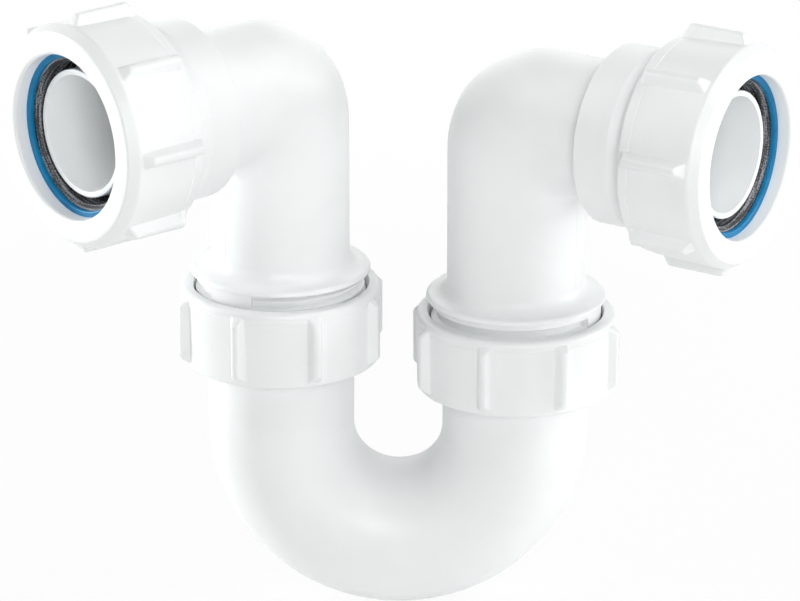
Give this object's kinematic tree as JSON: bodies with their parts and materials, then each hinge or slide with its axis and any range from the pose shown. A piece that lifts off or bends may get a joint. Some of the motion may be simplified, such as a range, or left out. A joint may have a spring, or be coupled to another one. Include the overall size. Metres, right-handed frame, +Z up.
{
  "type": "running P trap",
  "caption": "Running P trap: a U-bend whose upright legs join level elbows by union nuts, each elbow ending in a sealed compression socket for waste pipe.",
  "frame": {"origin": "centre of the inlet nut's mouth, where its straight wall meets the rounded rim", "axes": "+Z up along the legs, +X level from the inlet leg to the outlet leg, +Y level, away from the side to which both arms turn"},
  "size_m": [0.1915, 0.0877, 0.1642],
  "materials": {
    "white_plastic": "semi-gloss",
    "blue_plastic": "satin",
    "rubber": "matt"
  },
  "bodies": {
    "inlet_elbow": {"inlet_elbow": "white_plastic", "inlet_seal": "rubber"},
    "inlet_slip_ring": {"inlet_slip_ring": "blue_plastic"},
    "inlet_nut": {"inlet_compression_nut": "white_plastic"},
    "inlet_union_ring": {"inlet_union_ring": "rubber"},
    "inlet_union_nut": {"inlet_union_nut": "white_plastic"},
    "u_bend": {"u_bend": "white_plastic"},
    "outlet_elbow": {"outlet_elbow": "white_plastic", "outlet_seal": "rubber"},
    "outlet_slip_ring": {"outlet_slip_ring": "blue_plastic"},
    "outlet_nut": {"outlet_compression_nut": "white_plastic"},
    "outlet_union_ring": {"outlet_union_ring": "rubber"},
    "outlet_union_nut": {"outlet_union_nut": "white_plastic"}
  },
  "joints": [
    {"name": "inlet_leg_swivel", "type": "hinge", "parent": "inlet_elbow", "child": "u_bend", "pos_m": [0.04785, 0.04189, -0.064], "axis": [0, 0, 1], "range_deg": [-43.8, 126.2]},
    {"name": "inlet_nut_travel", "type": "slide", "parent": "inlet_elbow", "child": "inlet_slip_ring", "axis": [-0.7524, -0.6587, 0], "range_m": [0, 0.01155]},
    {"name": "inlet_nut_turn", "type": "hinge", "parent": "inlet_slip_ring", "child": "inlet_nut", "pos_m": [0.00203, 0.00178, 0], "axis": [-0.7524, -0.6587, 0], "range_deg": [0, 1800]},
    {"name": "inlet_union_travel", "type": "slide", "parent": "inlet_elbow", "child": "inlet_union_ring", "axis": [0, 0, -1], "range_m": [0, 0.01155]},
    {"name": "inlet_union_turn", "type": "hinge", "parent": "inlet_union_ring", "child": "inlet_union_nut", "pos_m": [0.04785, 0.04189, -0.06775], "axis": [0, 0, -1], "range_deg": [0, 1800]},
    {"name": "outlet_leg_swivel", "type": "hinge", "parent": "u_bend", "child": "outlet_elbow", "pos_m": [0.10575, 0.04189, -0.0708], "axis": [0, 0, 1], "range_deg": [-54.6, 115.4]},
    {"name": "outlet_nut_travel", "type": "slide", "parent": "outlet_elbow", "child": "outlet_slip_ring", "axis": [0.8625, -0.506, 0], "range_m": [0, 0.01155]},
    {"name": "outlet_nut_turn", "type": "hinge", "parent": "outlet_slip_ring", "child": "outlet_nut", "pos_m": [0.15828, 0.01107, -0.0068], "axis": [0.8625, -0.506, 0], "range_deg": [0, 1800]},
    {"name": "outlet_union_travel", "type": "slide", "parent": "outlet_elbow", "child": "outlet_union_ring", "axis": [0, 0, -1], "range_m": [0, 0.01155]},
    {"name": "outlet_union_turn", "type": "hinge", "parent": "outlet_union_ring", "child": "outlet_union_nut", "pos_m": [0.10575, 0.04189, -0.07455], "axis": [0, 0, -1], "range_deg": [0, 1800]}
  ],
  "couplings": [
    {"joint": "inlet_nut_travel", "follows": "inlet_nut_turn", "m_per_rad": 0.00036749},
    {"joint": "inlet_union_travel", "follows": "inlet_union_turn", "m_per_rad": 0.00036749},
    {"joint": "outlet_nut_travel", "follows": "outlet_nut_turn", "m_per_rad": 0.00036749},
    {"joint": "outlet_union_travel", "follows": "outlet_union_turn", "m_per_rad": 0.00036749}
  ]
}
